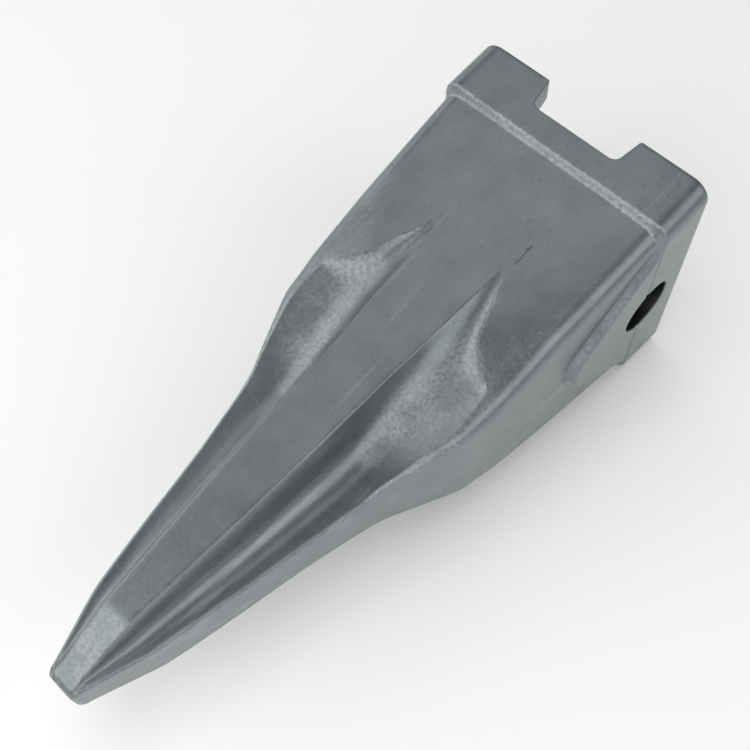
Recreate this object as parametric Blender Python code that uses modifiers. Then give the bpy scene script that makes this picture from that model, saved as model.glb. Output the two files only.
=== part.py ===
"""Excavator bucket tooth with its retaining pin, plunger lock and rubber spring.

Frame, in metres: +X runs back along the tooth from its tip to its lugs, Y runs along the
retaining pin, +Z is up. The origin is the centre of the pin bore. The tooth is the same on
both sides of the XZ and XY planes.
"""
import math

import bmesh
import bpy
import numpy as np

# Driving dimensions of the casting.
TIP_X = -0.2995             # front face of the blunt tip
BODY_END_X = -0.0045        # where the body meets the step up to the collar
STEP_RUN = 0.0025           # length of the sloped step
REAR_X = 0.026              # rear face of the lugs
HALF_WIDTH = 0.0626         # collar and side pads, half of the width over all
COLLAR_HALF_HEIGHT = (0.0639, 0.0665)   # at the step and at the rear face
COLLAR_EDGE_RADIUS = 0.009
BODY_EDGE_RADIUS = 0.008    # rounded long edges at the rear of the body
BLADE_EDGE_RADIUS = 0.0016  # the same edges on the thin flanges of the blade

# The blade and body, as (x, value) along the tooth. Values between are interpolated.
SIDE_HALF_WIDTH = ((TIP_X, 0.0058), (-0.296, 0.0085), (-0.264, 0.0190), (-0.226, 0.0264),
                   (-0.191, 0.0325), (-0.150, 0.0413), (-0.115, 0.0541), (-0.095, 0.0565),
                   (BODY_END_X, 0.0600))
FLANGE_HEIGHT = ((TIP_X, 0.0064), (-0.296, 0.0092), (-0.252, 0.0128), (-0.200, 0.0136),
                 (-0.165, 0.0155), (-0.121, 0.0305), (-0.063, 0.0478), (BODY_END_X, 0.0603))
SPINE_HALF_WIDTH = ((TIP_X, 0.0042), (-0.296, 0.0062), (-0.262, 0.0080), (-0.200, 0.0112),
                    (-0.130, 0.0142), (-0.060, 0.0175), (BODY_END_X, 0.0200))
SPINE_HEIGHT = ((TIP_X, 0.0066), (-0.296, 0.0096), (-0.262, 0.0235), (-0.200, 0.0322),
                (-0.130, 0.0408), (-0.060, 0.0512), (BODY_END_X, 0.0606))
FLUTE_DEPTH = ((TIP_X, 0.0), (-0.296, 0.0003), (-0.270, 0.0035), (-0.240, 0.0078),
               (-0.200, 0.0108), (-0.165, 0.0118), (-0.140, 0.0095), (-0.115, 0.0058),
               (-0.090, 0.0026), (-0.060, 0.0), (BODY_END_X, 0.0))
FLUTE_REACH = ((TIP_X, 1.0), (-0.150, 1.0), (-0.100, 0.75), (-0.060, 0.3), (BODY_END_X, 0.3))
EDGE_GROWTH = (-0.165, 0.12)    # where the edge radius starts to grow, and over what length
EDGE_LIMITS = (0.3, 0.4)    # its largest share of the flange's width and of its height
HOLLOW_POWER = 0.7          # below 1, the flute's sides are steeper than a sine's

# The socket that the adapter's nose fills.
SOCKET_FLOOR_X = -0.118
SOCKET_MOUTH = (0.0515, 0.0550)    # half width and half height at the rear face
SOCKET_FLOOR = (0.0370, 0.0165)    # the same at the floor
SOCKET_CORNER = (0.012, 0.008)     # corner radius at the rear face and at the floor

# Rear notches between the lugs, top and bottom.
NOTCH_FLOOR_X = 0.0108
NOTCH_HALF_WIDTH = (0.0236, 0.0259)     # at the floor and at the rear face
NOTCH_CORNER = 0.004

# Side pads round the pin bore, and the bore.
PAD_NOSE_X = -0.030         # centre of the pad's round nose
PAD_NOSE_RADIUS = 0.0215
PAD_REAR_HALF_HEIGHT = 0.046
PAD_REAR_X = 0.004          # inside the collar, where the pad runs into it
PAD_THICKNESS = 0.008       # most of it is buried in the side wall
BORE_RADIUS = 0.0142
CUTTER_OVERSHOOT = 0.02     # how far a cutter runs on past the metal

# The pin and its lock.
PIN_RADIUS = 0.0130
PIN_HALF_LENGTH = 0.0540
PIN_CHAMFER = 0.0020
POCKET_DEPTH = 0.0150       # from the pin's front line towards its axis
POCKET_HALF_LENGTH = 0.0110
POCKET_HALF_HEIGHT = 0.0042
LOCK_PROUD = 0.0007         # how far the plunger stands out of the pin, less than the play
PLUNGER_DEPTH = 0.0075
PLUNGER_EDGE = 0.0012
RUBBER_EDGE = 0.0006
RUBBER_INSET = 0.0008       # room round the rubber for it to bulge into
CLEARANCE = 0.0003          # gap between pieces that touch

SIDES_OF_BORE = 48
SIDES_OF_PIN = 40
NOSE_STEPS = 14
ARC_STEPS = 4
FLUTE_SHARES = (0.1, 0.24, 0.42, 0.6, 0.78, 0.91)   # points across a flute, spine to edge
STATIONS = (TIP_X, -0.2978, -0.296, -0.290, -0.280, -0.270, -0.262, -0.250, -0.235, -0.218,
            -0.200, -0.182, -0.165, -0.150, -0.138, -0.127, -0.115, -0.105, -0.095, -0.082,
            -0.070, -0.056, -0.040, -0.022, BODY_END_X)
SHARP_ANGLE = 35            # degrees; past this an edge stays sharp in shading

# Finishes: colour, metallic value and roughness.
CAST_FINISH = ((0.155, 0.178, 0.182), 0.75, 0.45)
PIN_FINISH = ((0.330, 0.330, 0.340), 1.0, 0.30)
PLUNGER_FINISH = ((0.440, 0.420, 0.380), 1.0, 0.35)
RUBBER_FINISH = ((0.020, 0.020, 0.022), 0.0, 0.75)


def clear_scene():
    for obj in list(bpy.data.objects):
        bpy.data.objects.remove(obj, do_unlink=True)


def collection(name):
    made = bpy.data.collections.new(name)
    bpy.context.scene.collection.children.link(made)
    return made


def material(name, colour, metallic, roughness):
    made = bpy.data.materials.new(name)
    made.use_nodes = True
    shader = made.node_tree.nodes["Principled BSDF"]
    shader.inputs["Base Color"].default_value = (*colour, 1.0)
    shader.inputs["Metallic"].default_value = metallic
    shader.inputs["Roughness"].default_value = roughness
    return made


def add_object(name, mesh, home, finish=None):
    obj = bpy.data.objects.new(name, mesh)
    home.objects.link(obj)
    if finish:
        mesh.materials.append(finish)
    return obj


def combine(obj, other, operation):
    """Join another shape to an object (UNION) or cut it out (DIFFERENCE), and hide the other."""
    other.hide_render = True
    other.display_type = "WIRE"
    modifier = obj.modifiers.new(operation.lower() + "_" + other.name, "BOOLEAN")
    modifier.operation = operation
    modifier.solver = "EXACT"
    modifier.object = other


def cut(obj, cutter):
    combine(obj, cutter, "DIFFERENCE")


def along(table, x):
    """Read a driving (x, value) table at x."""
    places, values = zip(*table)
    return float(np.interp(x, places, values))


def loft(name, rings):
    """Skin a list of rings with the same number of points, and cap both ends."""
    bm = bmesh.new()
    loops = [[bm.verts.new(point) for point in ring] for ring in rings]
    count = len(loops[0])
    for front, back in zip(loops, loops[1:]):
        for i in range(count):
            j = (i + 1) % count
            bm.faces.new((front[i], front[j], back[j], back[i]))
    bm.faces.new(loops[0])
    bm.faces.new(loops[-1])
    bmesh.ops.recalc_face_normals(bm, faces=bm.faces)
    mesh = bpy.data.meshes.new(name)
    bm.to_mesh(mesh)
    bm.free()
    return mesh


def four_quarters(x, quarter):
    """Close a quarter outline, listed from +Z to +Y, into a whole ring at station x."""
    upper = quarter + [(y, -z) for y, z in reversed(quarter[:-1])]
    ring = upper + [(-y, z) for y, z in reversed(upper[1:-1])]
    return [(x, y, z) for y, z in ring]


def rounded_corner(half_width, half_height, radius, steps=ARC_STEPS):
    """Points of a rounded corner from its top edge to its side edge."""
    points = []
    for i in range(steps + 1):
        angle = math.radians(90 * i / steps)
        points.append((half_width - radius + radius * math.sin(angle),
                       half_height - radius + radius * math.cos(angle)))
    return points


def edge_radius(x):
    """The long edges' radius grows from the blade to the rear of the body."""
    start, length = EDGE_GROWTH
    share = np.clip((x - start) / length, 0.0, 1.0)
    return BLADE_EDGE_RADIUS + (BODY_EDGE_RADIUS - BLADE_EDGE_RADIUS) * share


def body_quarter(x):
    """Quarter outline of the blade or body: flat spine, hollow flute, rounded edge, side."""
    spine, top = along(SPINE_HALF_WIDTH, x), along(SPINE_HEIGHT, x)
    side, flange = along(SIDE_HALF_WIDTH, x), along(FLANGE_HEIGHT, x)
    radius = min(edge_radius(x), EDGE_LIMITS[0] * (side - spine), EDGE_LIMITS[1] * flange)
    depth, reach = along(FLUTE_DEPTH, x), along(FLUTE_REACH, x)
    points = [(0.0, top), (spine, top)]
    for share in FLUTE_SHARES:
        hollow = math.sin(math.pi * min(share / reach, 1.0))
        hollow = max(hollow, 0.0) ** HOLLOW_POWER
        points.append((spine + (side - radius - spine) * share,
                       top + (flange - top) * share - depth * hollow))
    points += rounded_corner(side, flange, radius)
    points.append((side, 0.0))
    return points


def collar_quarter(x):
    """Quarter outline of the collar, with the same points across as the body has."""
    share = (x - BODY_END_X - STEP_RUN) / (REAR_X - BODY_END_X - STEP_RUN)
    height = COLLAR_HALF_HEIGHT[0] + share * (COLLAR_HALF_HEIGHT[1] - COLLAR_HALF_HEIGHT[0])
    flat = HALF_WIDTH - COLLAR_EDGE_RADIUS
    spine = along(SPINE_HALF_WIDTH, BODY_END_X)
    points = [(0.0, height), (spine, height)]
    points += [(spine + (flat - spine) * share, height) for share in FLUTE_SHARES]
    points += rounded_corner(HALF_WIDTH, height, COLLAR_EDGE_RADIUS)
    points.append((HALF_WIDTH, 0.0))
    return points


def casting_blank(home, finish):
    """The outside of the tooth, tip to lugs, as one lofted solid."""
    rings = [four_quarters(x, body_quarter(x)) for x in STATIONS]
    collar_front = BODY_END_X + STEP_RUN
    for x in (collar_front, 0.5 * (collar_front + REAR_X), REAR_X):
        rings.append(four_quarters(x, collar_quarter(x)))
    return add_object("tooth_casting", loft("tooth_casting", rings), home, finish)


def plate(name, outline, half_thickness, home):
    """A flat outline in XY, thickened along Z: a filled 2D curve made into a closed mesh."""
    curve = bpy.data.curves.new(name, "CURVE")
    curve.dimensions = "2D"
    curve.fill_mode = "BOTH"
    curve.extrude = half_thickness
    spline = curve.splines.new("POLY")
    spline.points.add(len(outline) - 1)
    for point, (x, y) in zip(spline.points, outline):
        point.co = (x, y, 0.0, 1.0)
    spline.use_cyclic_u = True
    drawn = bpy.data.objects.new(name + "_outline", curve)
    home.objects.link(drawn)
    mesh = bpy.data.meshes.new_from_object(
        drawn.evaluated_get(bpy.context.evaluated_depsgraph_get()))
    bpy.data.objects.remove(drawn, do_unlink=True)
    bm = bmesh.new()
    bm.from_mesh(mesh)
    bmesh.ops.remove_doubles(bm, verts=bm.verts, dist=1e-6)
    bmesh.ops.recalc_face_normals(bm, faces=bm.faces)
    bm.to_mesh(mesh)
    bm.free()
    return add_object(name, mesh, home)


def side_pads(home):
    """Fan-shaped pads that carry the bore out level with the collar, one on each side."""
    lean = math.atan2(PAD_REAR_HALF_HEIGHT - PAD_NOSE_RADIUS, -PAD_NOSE_X)
    outline = [(PAD_REAR_X, -PAD_REAR_HALF_HEIGHT), (PAD_REAR_X, PAD_REAR_HALF_HEIGHT)]
    for i in range(NOSE_STEPS + 1):
        angle = math.radians(90) + lean + (math.radians(180) - 2 * lean) * i / NOSE_STEPS
        outline.append((PAD_NOSE_X + PAD_NOSE_RADIUS * math.cos(angle),
                        PAD_NOSE_RADIUS * math.sin(angle)))
    half_thickness = 0.5 * PAD_THICKNESS
    pads = []
    for side, sign in (("near", -1), ("far", 1)):
        pad = plate(f"side_pad_{side}", outline, half_thickness, home)
        pad.rotation_euler = (math.radians(90), 0.0, 0.0)
        pad.location = (0.0, sign * (HALF_WIDTH - half_thickness), 0.0)
        pads.append(pad)
    return pads


def socket_cutter(home):
    """The tapered hollow for the adapter's nose, open at the rear face."""
    rings = []
    for x in (SOCKET_FLOOR_X, REAR_X + CUTTER_OVERSHOOT):
        share = (x - SOCKET_FLOOR_X) / (REAR_X - SOCKET_FLOOR_X)
        half_width, half_height, radius = (
            low + share * (high - low)
            for low, high in zip((*SOCKET_FLOOR, SOCKET_CORNER[1]),
                                 (*SOCKET_MOUTH, SOCKET_CORNER[0])))
        corner = rounded_corner(half_width, half_height, radius, steps=5)
        quarter = [(0.0, half_height)] + corner + [(half_width, 0.0)]
        rings.append(four_quarters(x, quarter))
    return add_object("socket_cutter", loft("socket_cutter", rings), home)


def notch_cutter(home):
    """One tall cutter for both rear notches, with rounded inner corners."""
    floor_half, mouth_half = NOTCH_HALF_WIDTH
    flare = (mouth_half - floor_half) / (REAR_X - NOTCH_FLOOR_X)
    end_x = REAR_X + CUTTER_OVERSHOOT
    outline = [(end_x, floor_half + flare * (end_x - NOTCH_FLOOR_X))]
    for i in range(ARC_STEPS + 1):
        angle = math.radians(90 * i / ARC_STEPS)
        outline.append((NOTCH_FLOOR_X + NOTCH_CORNER - NOTCH_CORNER * math.sin(angle),
                        floor_half - NOTCH_CORNER + NOTCH_CORNER * math.cos(angle)))
    outline += [(x, -y) for x, y in reversed(outline)]
    half_height = COLLAR_HALF_HEIGHT[1] + CUTTER_OVERSHOOT
    return plate("notch_cutter", outline, half_height, home)


def cross_cylinder(name, radius, half_length, sides, home, finish=None):
    """A cylinder along Y, centred on the pin's axis."""
    bm = bmesh.new()
    bmesh.ops.create_cone(bm, cap_ends=True, segments=sides, radius1=radius, radius2=radius,
                          depth=2 * half_length)
    mesh = bpy.data.meshes.new(name)
    bm.to_mesh(mesh)
    bm.free()
    obj = add_object(name, mesh, home, finish)
    obj.rotation_euler = (math.radians(90), 0.0, 0.0)
    return obj


def block(name, low, high, home, finish=None):
    """A box between two corners, with its origin at the pin bore's centre."""
    bm = bmesh.new()
    bmesh.ops.create_cube(bm, size=1.0)
    for vert in bm.verts:
        for axis in range(3):
            middle = 0.5 * (low[axis] + high[axis])
            vert.co[axis] = middle + vert.co[axis] * (high[axis] - low[axis])
    mesh = bpy.data.meshes.new(name)
    bm.to_mesh(mesh)
    bm.free()
    return add_object(name, mesh, home, finish)


def soften(obj, width, segments=1, angle=40):
    bevel = obj.modifiers.new("soft_edges", "BEVEL")
    bevel.width = width
    bevel.segments = segments
    bevel.limit_method = "ANGLE"
    bevel.angle_limit = math.radians(angle)


def retaining_pin(home, cutters, finish):
    """The cross pin, with a pocket in its front for the plunger and the rubber."""
    pin = cross_cylinder("retaining_pin", PIN_RADIUS, PIN_HALF_LENGTH, SIDES_OF_PIN, home, finish)
    soften(pin, PIN_CHAMFER)
    pocket = block("pocket_cutter",
                   (-PIN_RADIUS - CUTTER_OVERSHOOT, -POCKET_HALF_LENGTH, -POCKET_HALF_HEIGHT),
                   (-PIN_RADIUS + POCKET_DEPTH, POCKET_HALF_LENGTH, POCKET_HALF_HEIGHT), cutters)
    cut(pin, pocket)
    return pin


def lock_plunger(home, finish):
    """The steel detent that stands a little out of the pin's front."""
    front = -PIN_RADIUS - LOCK_PROUD
    plunger = block("lock_plunger",
                    (front, -POCKET_HALF_LENGTH + CLEARANCE, -POCKET_HALF_HEIGHT + CLEARANCE),
                    (front + PLUNGER_DEPTH, POCKET_HALF_LENGTH - CLEARANCE,
                     POCKET_HALF_HEIGHT - CLEARANCE), home, finish)
    soften(plunger, PLUNGER_EDGE, segments=2)
    return plunger


def rubber_spring(home, finish):
    """The rubber block between the plunger's back and the pocket's floor."""
    front = -PIN_RADIUS - LOCK_PROUD + PLUNGER_DEPTH + CLEARANCE
    back = -PIN_RADIUS + POCKET_DEPTH - CLEARANCE
    rubber = block("rubber_spring",
                   (front, -POCKET_HALF_LENGTH + RUBBER_INSET, -POCKET_HALF_HEIGHT + RUBBER_INSET),
                   (back, POCKET_HALF_LENGTH - RUBBER_INSET, POCKET_HALF_HEIGHT - RUBBER_INSET),
                   home, finish)
    soften(rubber, RUBBER_EDGE)
    return rubber


def shade_round(obj):
    obj.data.shade_smooth()
    obj.data.set_sharp_from_angle(angle=math.radians(SHARP_ANGLE))


def build():
    clear_scene()
    parts = collection("excavator_bucket_tooth")
    cutters = collection("cutters")
    casting = casting_blank(parts, material("cast_steel", *CAST_FINISH))
    for pad in side_pads(cutters):
        combine(casting, pad, "UNION")
    cut(casting, socket_cutter(cutters))
    cut(casting, notch_cutter(cutters))
    cut(casting, cross_cylinder("bore_cutter", BORE_RADIUS, HALF_WIDTH + CUTTER_OVERSHOOT,
                                SIDES_OF_BORE, cutters))

    pin_axis = bpy.data.objects.new("pin_axis", None)
    parts.objects.link(pin_axis)
    pin = retaining_pin(parts, cutters, material("pin_steel", *PIN_FINISH))
    plunger = lock_plunger(parts, material("plunger_steel", *PLUNGER_FINISH))
    rubber = rubber_spring(parts, material("rubber", *RUBBER_FINISH))
    for piece in (pin, plunger, rubber):
        piece.parent = pin_axis
    for piece in (casting, pin, plunger):
        shade_round(piece)


build()
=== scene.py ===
# %% [markdown]
# # An excavator bucket tooth, and the pin that holds it
#
# A bucket tooth is one heavy steel casting. It slides over a nose on the bucket's lip and a
# cross pin keeps it there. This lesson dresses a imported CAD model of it: the fine surfaces are
# worked out with numpy as two-parameter grids, and the finishes are procedural.
# The frame is in metres: +X runs back from the tip, Y runs along the pin, +Z is up, and the
# origin is the middle of the pin's bore.

# %% Load the frame
import math

import bpy
import numpy as np
from mathutils import Matrix, Vector


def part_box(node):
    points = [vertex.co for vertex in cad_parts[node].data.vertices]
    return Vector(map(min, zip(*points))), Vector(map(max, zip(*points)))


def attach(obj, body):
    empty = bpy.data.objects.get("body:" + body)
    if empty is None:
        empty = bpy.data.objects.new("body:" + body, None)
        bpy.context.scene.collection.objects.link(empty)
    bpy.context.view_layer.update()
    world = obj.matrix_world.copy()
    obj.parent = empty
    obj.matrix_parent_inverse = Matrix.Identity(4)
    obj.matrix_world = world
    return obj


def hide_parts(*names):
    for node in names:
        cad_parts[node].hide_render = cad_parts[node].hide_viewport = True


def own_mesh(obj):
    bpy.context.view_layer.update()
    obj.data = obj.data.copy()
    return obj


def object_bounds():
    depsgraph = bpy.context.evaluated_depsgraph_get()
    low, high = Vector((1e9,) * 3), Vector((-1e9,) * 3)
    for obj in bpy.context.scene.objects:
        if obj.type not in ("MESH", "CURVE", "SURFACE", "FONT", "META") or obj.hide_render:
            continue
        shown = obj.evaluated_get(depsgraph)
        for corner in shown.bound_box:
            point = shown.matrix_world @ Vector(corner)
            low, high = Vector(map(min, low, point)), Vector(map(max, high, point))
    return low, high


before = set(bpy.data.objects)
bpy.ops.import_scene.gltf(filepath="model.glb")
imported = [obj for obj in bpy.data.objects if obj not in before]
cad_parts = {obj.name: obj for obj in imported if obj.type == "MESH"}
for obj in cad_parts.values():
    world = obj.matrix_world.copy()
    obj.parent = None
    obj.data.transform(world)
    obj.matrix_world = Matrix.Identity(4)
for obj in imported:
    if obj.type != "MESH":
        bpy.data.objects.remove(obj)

cad_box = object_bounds()
LOW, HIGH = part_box("tooth_casting")
MM = 0.001
print("tooth runs from", tuple(round(v, 4) for v in LOW), "to", tuple(round(v, 4) for v in HIGH))

# %% [markdown]
# ## Camera first
#
# The camera stands above the tooth and ahead of its near side, so the top, one side pad and
# the rear notch all show. It is placed by where it stands, the direction it looks in and a
# small roll. Everything else is judged through it, so it comes first.

# %% Camera
CAMERA_PLACE = (-0.2593, -0.1603, 0.4501)
CAMERA_LOOK = (0.29498, 0.33117, -0.89628)
CAMERA_RIGHT = (0.69161, -0.72122, -0.03887)
LENS_MM = 52.8


def add_camera():
    """Build the camera's axes from the look direction and the rightward direction."""
    look = Vector(CAMERA_LOOK).normalized()
    right = Vector(CAMERA_RIGHT)
    right = (right - look * right.dot(look)).normalized()
    up = right.cross(look)
    turn = Matrix((right, up, -look)).transposed().to_4x4()
    data = bpy.data.cameras.new("camera")
    data.lens = LENS_MM
    data.sensor_width = 36.0
    data.clip_start = 0.01
    camera = bpy.data.objects.new("camera", data)
    camera.matrix_world = Matrix.Translation(CAMERA_PLACE) @ turn
    bpy.context.scene.collection.objects.link(camera)
    bpy.context.scene.camera = camera
    return camera


camera = add_camera()
print("camera", tuple(round(v, 3) for v in camera.location), "lens", LENS_MM, "mm")

# %% [markdown]
# ## Grids into meshes
#
# Most shapes here are closed rings, one behind the other: a grid of points with a ring
# parameter and a length parameter. One helper turns such a grid into a mesh, closes the ring,
# and closes both ends with a pole.

# %% Mesh helpers


def fill_mesh(name, points, quads, triangles=()):
    """Put points and faces into a new mesh with foreach_set."""
    mesh = bpy.data.meshes.new(name)
    sizes = np.concatenate([np.full(len(quads), 4), np.full(len(triangles), 3)]).astype(np.int32)
    corners = np.concatenate([np.ravel(quads), np.ravel(triangles)]).astype(np.int32)
    mesh.vertices.add(len(points))
    mesh.vertices.foreach_set("co", np.asarray(points, np.float32).ravel())
    mesh.loops.add(len(corners))
    mesh.loops.foreach_set("vertex_index", corners)
    mesh.polygons.add(len(sizes))
    mesh.polygons.foreach_set("loop_start", (np.cumsum(sizes) - sizes).astype(np.int32))
    mesh.update(calc_edges=True)
    mesh.validate()
    return mesh


def ring_tube(name, rings, inside_out=False):
    """Mesh of rings[i, j] = point j of ring i. The ring closes on itself, and a pole at each
    end, the mean of that end's ring, closes the tube."""
    rows, columns = rings.shape[:2]
    index = np.arange(rows * columns).reshape(rows, columns)
    ahead = np.roll(index, -1, axis=1)
    quads = np.stack([index[:-1], ahead[:-1], ahead[1:], index[1:]], axis=-1).reshape(-1, 4)
    first, last = rows * columns, rows * columns + 1
    start = np.stack([ahead[0], index[0], np.full(columns, first)], axis=-1)
    end = np.stack([index[-1], ahead[-1], np.full(columns, last)], axis=-1)
    triangles = np.concatenate([start, end])
    poles = np.stack([rings[0].mean(axis=0), rings[-1].mean(axis=0)])
    points = np.concatenate([rings.reshape(-1, 3), poles])
    if inside_out:
        quads, triangles = quads[:, ::-1], triangles[:, ::-1]
    return fill_mesh(name, points, quads, triangles)


def smoothstep(value, low, high):
    """0 below low, 1 above high, and an S-shaped cubic between."""
    share = np.clip((value - low) / (high - low), 0.0, 1.0)
    return share * share * (3.0 - 2.0 * share)


def add_piece(name, mesh, sharp_angle=None):
    """Link a mesh as an object and shade it smooth, with sharp edges past an angle."""
    piece = bpy.data.objects.new(name, mesh)
    bpy.context.scene.collection.objects.link(piece)
    mesh.shade_smooth()
    if sharp_angle:
        mesh.set_sharp_from_angle(angle=math.radians(sharp_angle))
    return piece


def cut(piece, cutters):
    """Take the cutters out of a piece, keep the result as its mesh and drop the cutters."""
    for cutter in cutters:
        modifier = piece.modifiers.new("cut", "BOOLEAN")
        modifier.operation = "DIFFERENCE"
        modifier.solver = "EXACT"
        modifier.object = cutter
    graph = bpy.context.evaluated_depsgraph_get()
    piece.data = bpy.data.meshes.new_from_object(piece.evaluated_get(graph))
    piece.modifiers.clear()
    for cutter in cutters:
        bpy.data.objects.remove(cutter, do_unlink=True)


print("helpers ready")

# %% [markdown]
# ## The lines of the tooth
#
# A pattern maker draws a tooth as a few long lines: the width of the side, the height of the
# side's upper edge, the width and height of the spine, and the depth of the flute between
# them. Each is a short list of (distance from the pin, size), joined and then faired, which
# means averaged over a short window, the way a bent batten would round off the corners.

# %% Faired lines
TIP = LOW.x / MM
REAR = HIGH.x / MM
FAIR_STEP = 0.5


def faired(stations, window):
    """A callable line: straight between stations, then averaged with a raised-cosine window
    of that half width in mm, sliding along the tooth."""
    places, sizes = np.array(stations, float).T
    fine = np.arange(TIP - 40, REAR + 40, FAIR_STEP)
    straight = np.interp(fine, places, sizes)
    first_slope = (sizes[1] - sizes[0]) / (places[1] - places[0])
    last_slope = (sizes[-1] - sizes[-2]) / (places[-1] - places[-2])
    straight = np.where(fine < places[0], sizes[0] + first_slope * (fine - places[0]), straight)
    straight = np.where(fine > places[-1], sizes[-1] + last_slope * (fine - places[-1]), straight)
    reach = max(int(window / FAIR_STEP), 1)
    weights = 1.0 + np.cos(np.pi * np.arange(-reach, reach + 1) / (reach + 1))
    padded = np.concatenate([np.full(reach, straight[0]), straight, np.full(reach, straight[-1])])
    smooth = np.convolve(padded, weights / weights.sum(), mode="valid")
    return lambda x: np.interp(x, fine, smooth)


side_width = faired([(-296, 8.3), (-264, 19.2), (-226, 26.4), (-191, 32.5), (-152, 40.8),
                     (-117, 54.0), (-97, 56.4), (-4.5, 60.0), (30, 61.2)], 6)
edge_height = faired([(-296, 9.2), (-252, 12.8), (-205, 13.4), (-163, 15.8), (-121, 30.8),
                      (-63, 47.8), (-4.5, 60.3), (30, 67.0)], 9)
spine_width = faired([(-296, 5.7), (-262, 7.5), (-200, 11.2), (-130, 14.2), (-60, 17.5),
                      (30, 22.0)], 8)
spine_height = faired([(-296, 9.6), (-264, 23.4), (-200, 32.2), (-130, 40.8), (-60, 51.2),
                       (-4.5, 60.6), (30, 66.6)], 4)
trough_height = faired([(-296, 9.8), (-286, 9.7), (-262, 10.9), (-240, 11.2), (-200, 11.2),
                        (-165, 11.8), (-152, 13.4), (-136, 19.2), (-120, 26.4), (-104, 33.2),
                        (-54, 52.6), (-44, 58.0), (30, 90)], 4)
trough_radius = faired([(-296, 2.0), (-280, 3.4), (-262, 6.8), (-240, 9.5), (-200, 11.5),
                        (-150, 14.0), (-120, 18.0), (-100, 22.0), (30, 22.0)], 5)
scoop_reach = faired([(-296, 1.0), (-106, 1.0), (-98, 0.96), (-90, 0.68), (-82, 0.44),
                      (-73, 0.31), (-63, 0.17), (-54, 0.06), (30, 0.06)], 4)
edge_radius = faired([(-296, 1.8), (-170, 1.6), (-145, 2.0), (-125, 4.4), (-108, 7.2),
                      (-60, 8.0), (-4.5, 8.6), (30, 8.6)], 6)
print("blade is", round(2 * float(side_width(-226)), 1), "mm wide at three quarters of its length")

# %% [markdown]
# ## The outside of the casting
#
# One quarter of a section runs from the top middle to the middle of the side: half of the flat
# spine, its crisp edge, the hollow flute, the rounded long edge and the side. The tooth is the
# same on all four quarters, so a ring is that quarter four times over. Columns of the grid
# stay with these features all along the tooth, so the spine's edge is a line of the mesh and
# not a zigzag across it.

# %% Section of the blade and body
WALL_ANGLE = math.radians(77)


def body_line(x, share):
    """Height of the plain body between the spine's edge (share 0) and the long edge (1)."""
    top, edge = spine_height(x), edge_height(x)
    return top + (edge - top) * share ** (1.0 + smoothstep(x, -120, -70))


def flute_height(x, share, width):
    """Height of the fluted face. In section the flute is a steep straight wall, an arc that
    meets it, and a floor that climbs to the body's own line at the scoop's reach. Where the
    flute is shallower than its arc there is no wall. Whichever of flute and body is lower is
    the metal, so the scoop ends at a crisp line."""
    trough, radius, reach = trough_height(x), trough_radius(x), scoop_reach(x)
    drop = np.maximum(spine_height(x) - trough, 0.0)
    arc_drop = radius * (1.0 - math.cos(WALL_ANGLE))
    whole_arc = drop / math.tan(WALL_ANGLE) + radius * math.tan(WALL_ANGLE / 2)
    part_arc = np.sqrt(np.maximum(radius ** 2 - (radius - drop) ** 2, 0.0))
    arc_end = np.where(drop > arc_drop, whole_arc, part_arc)
    gap = np.maximum(arc_end - share * width, 0.0)
    arc_width = radius * math.sin(WALL_ANGLE)
    arc = radius - np.sqrt(radius ** 2 - np.minimum(gap, arc_width) ** 2)
    wall = np.maximum(gap - arc_width, 0.0) * math.tan(WALL_ANGLE)
    power = 2.2 + 1.6 * smoothstep(x, -130, -95)
    climb = np.maximum(body_line(x, reach) - trough, 0.0) * (share / reach) ** power
    return np.minimum(body_line(x, share), trough + arc + wall + climb)


print("body line half way across at the pin:", round(float(body_line(0.0, 0.5)), 1), "mm up")

# %% [markdown]
# ## The pad round the bore
#
# The side wall is thicker where the pin goes through, so each side has a flat, fan-shaped pad
# that is level with the collar. A signed distance to the fan's outline, turned into a mask
# with a soft edge, moves the side out there. No extra mesh is needed for it.

# %% Pad on the side
SIDE_OUT = HIGH.y / MM
PAD_NOSE, PAD_NOSE_ROUND, PAD_REAR_HEIGHT = -30.0, 21.5, 46.0
PAD_RAMP = 3.2


def pad_mask(x, z):
    """1 on the fan-shaped pad round the bore and 0 off it, with a soft ramp at its edge. The
    fan is a round nose with two straight sides that open out to the collar."""
    lean = math.atan2(PAD_REAR_HEIGHT - PAD_NOSE_ROUND, -PAD_NOSE)
    along, across = x - PAD_NOSE, np.abs(z)
    side_distance = across * math.cos(lean) - along * math.sin(lean) - PAD_NOSE_ROUND
    nose_distance = np.hypot(along, across) - PAD_NOSE_ROUND
    behind_nose = along * math.cos(lean) + across * math.sin(lean) > 0.0
    distance = np.where(behind_nose, side_distance, nose_distance)
    return 1.0 - smoothstep(distance, -0.6, PAD_RAMP)


print("pad stands out to", round(SIDE_OUT, 1), "mm, round a bore at the origin")

# %% [markdown]
# ## A quarter, then a ring
#
# The quarter's points are set out feature by feature: spine, crest, flute, rounded corner and
# side. Near the rear face the whole section swells into the collar, by blending each size
# towards the collar's own over a few millimetres.

# %% Quarter and ring
SPINE_COLUMNS, CREST_COLUMNS, SCOOP_COLUMNS, SHOULDER_COLUMNS = 5, 4, 20, 12
CORNER_COLUMNS, SIDE_COLUMNS = 9, 36
CREST_ROUND = 0.9
COLLAR_START, COLLAR_TOP = -5.2, -1.4
COLLAR_HEIGHT = (63.9, HIGH.z / MM)
COLLAR_RADIUS = 9.0


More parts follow.
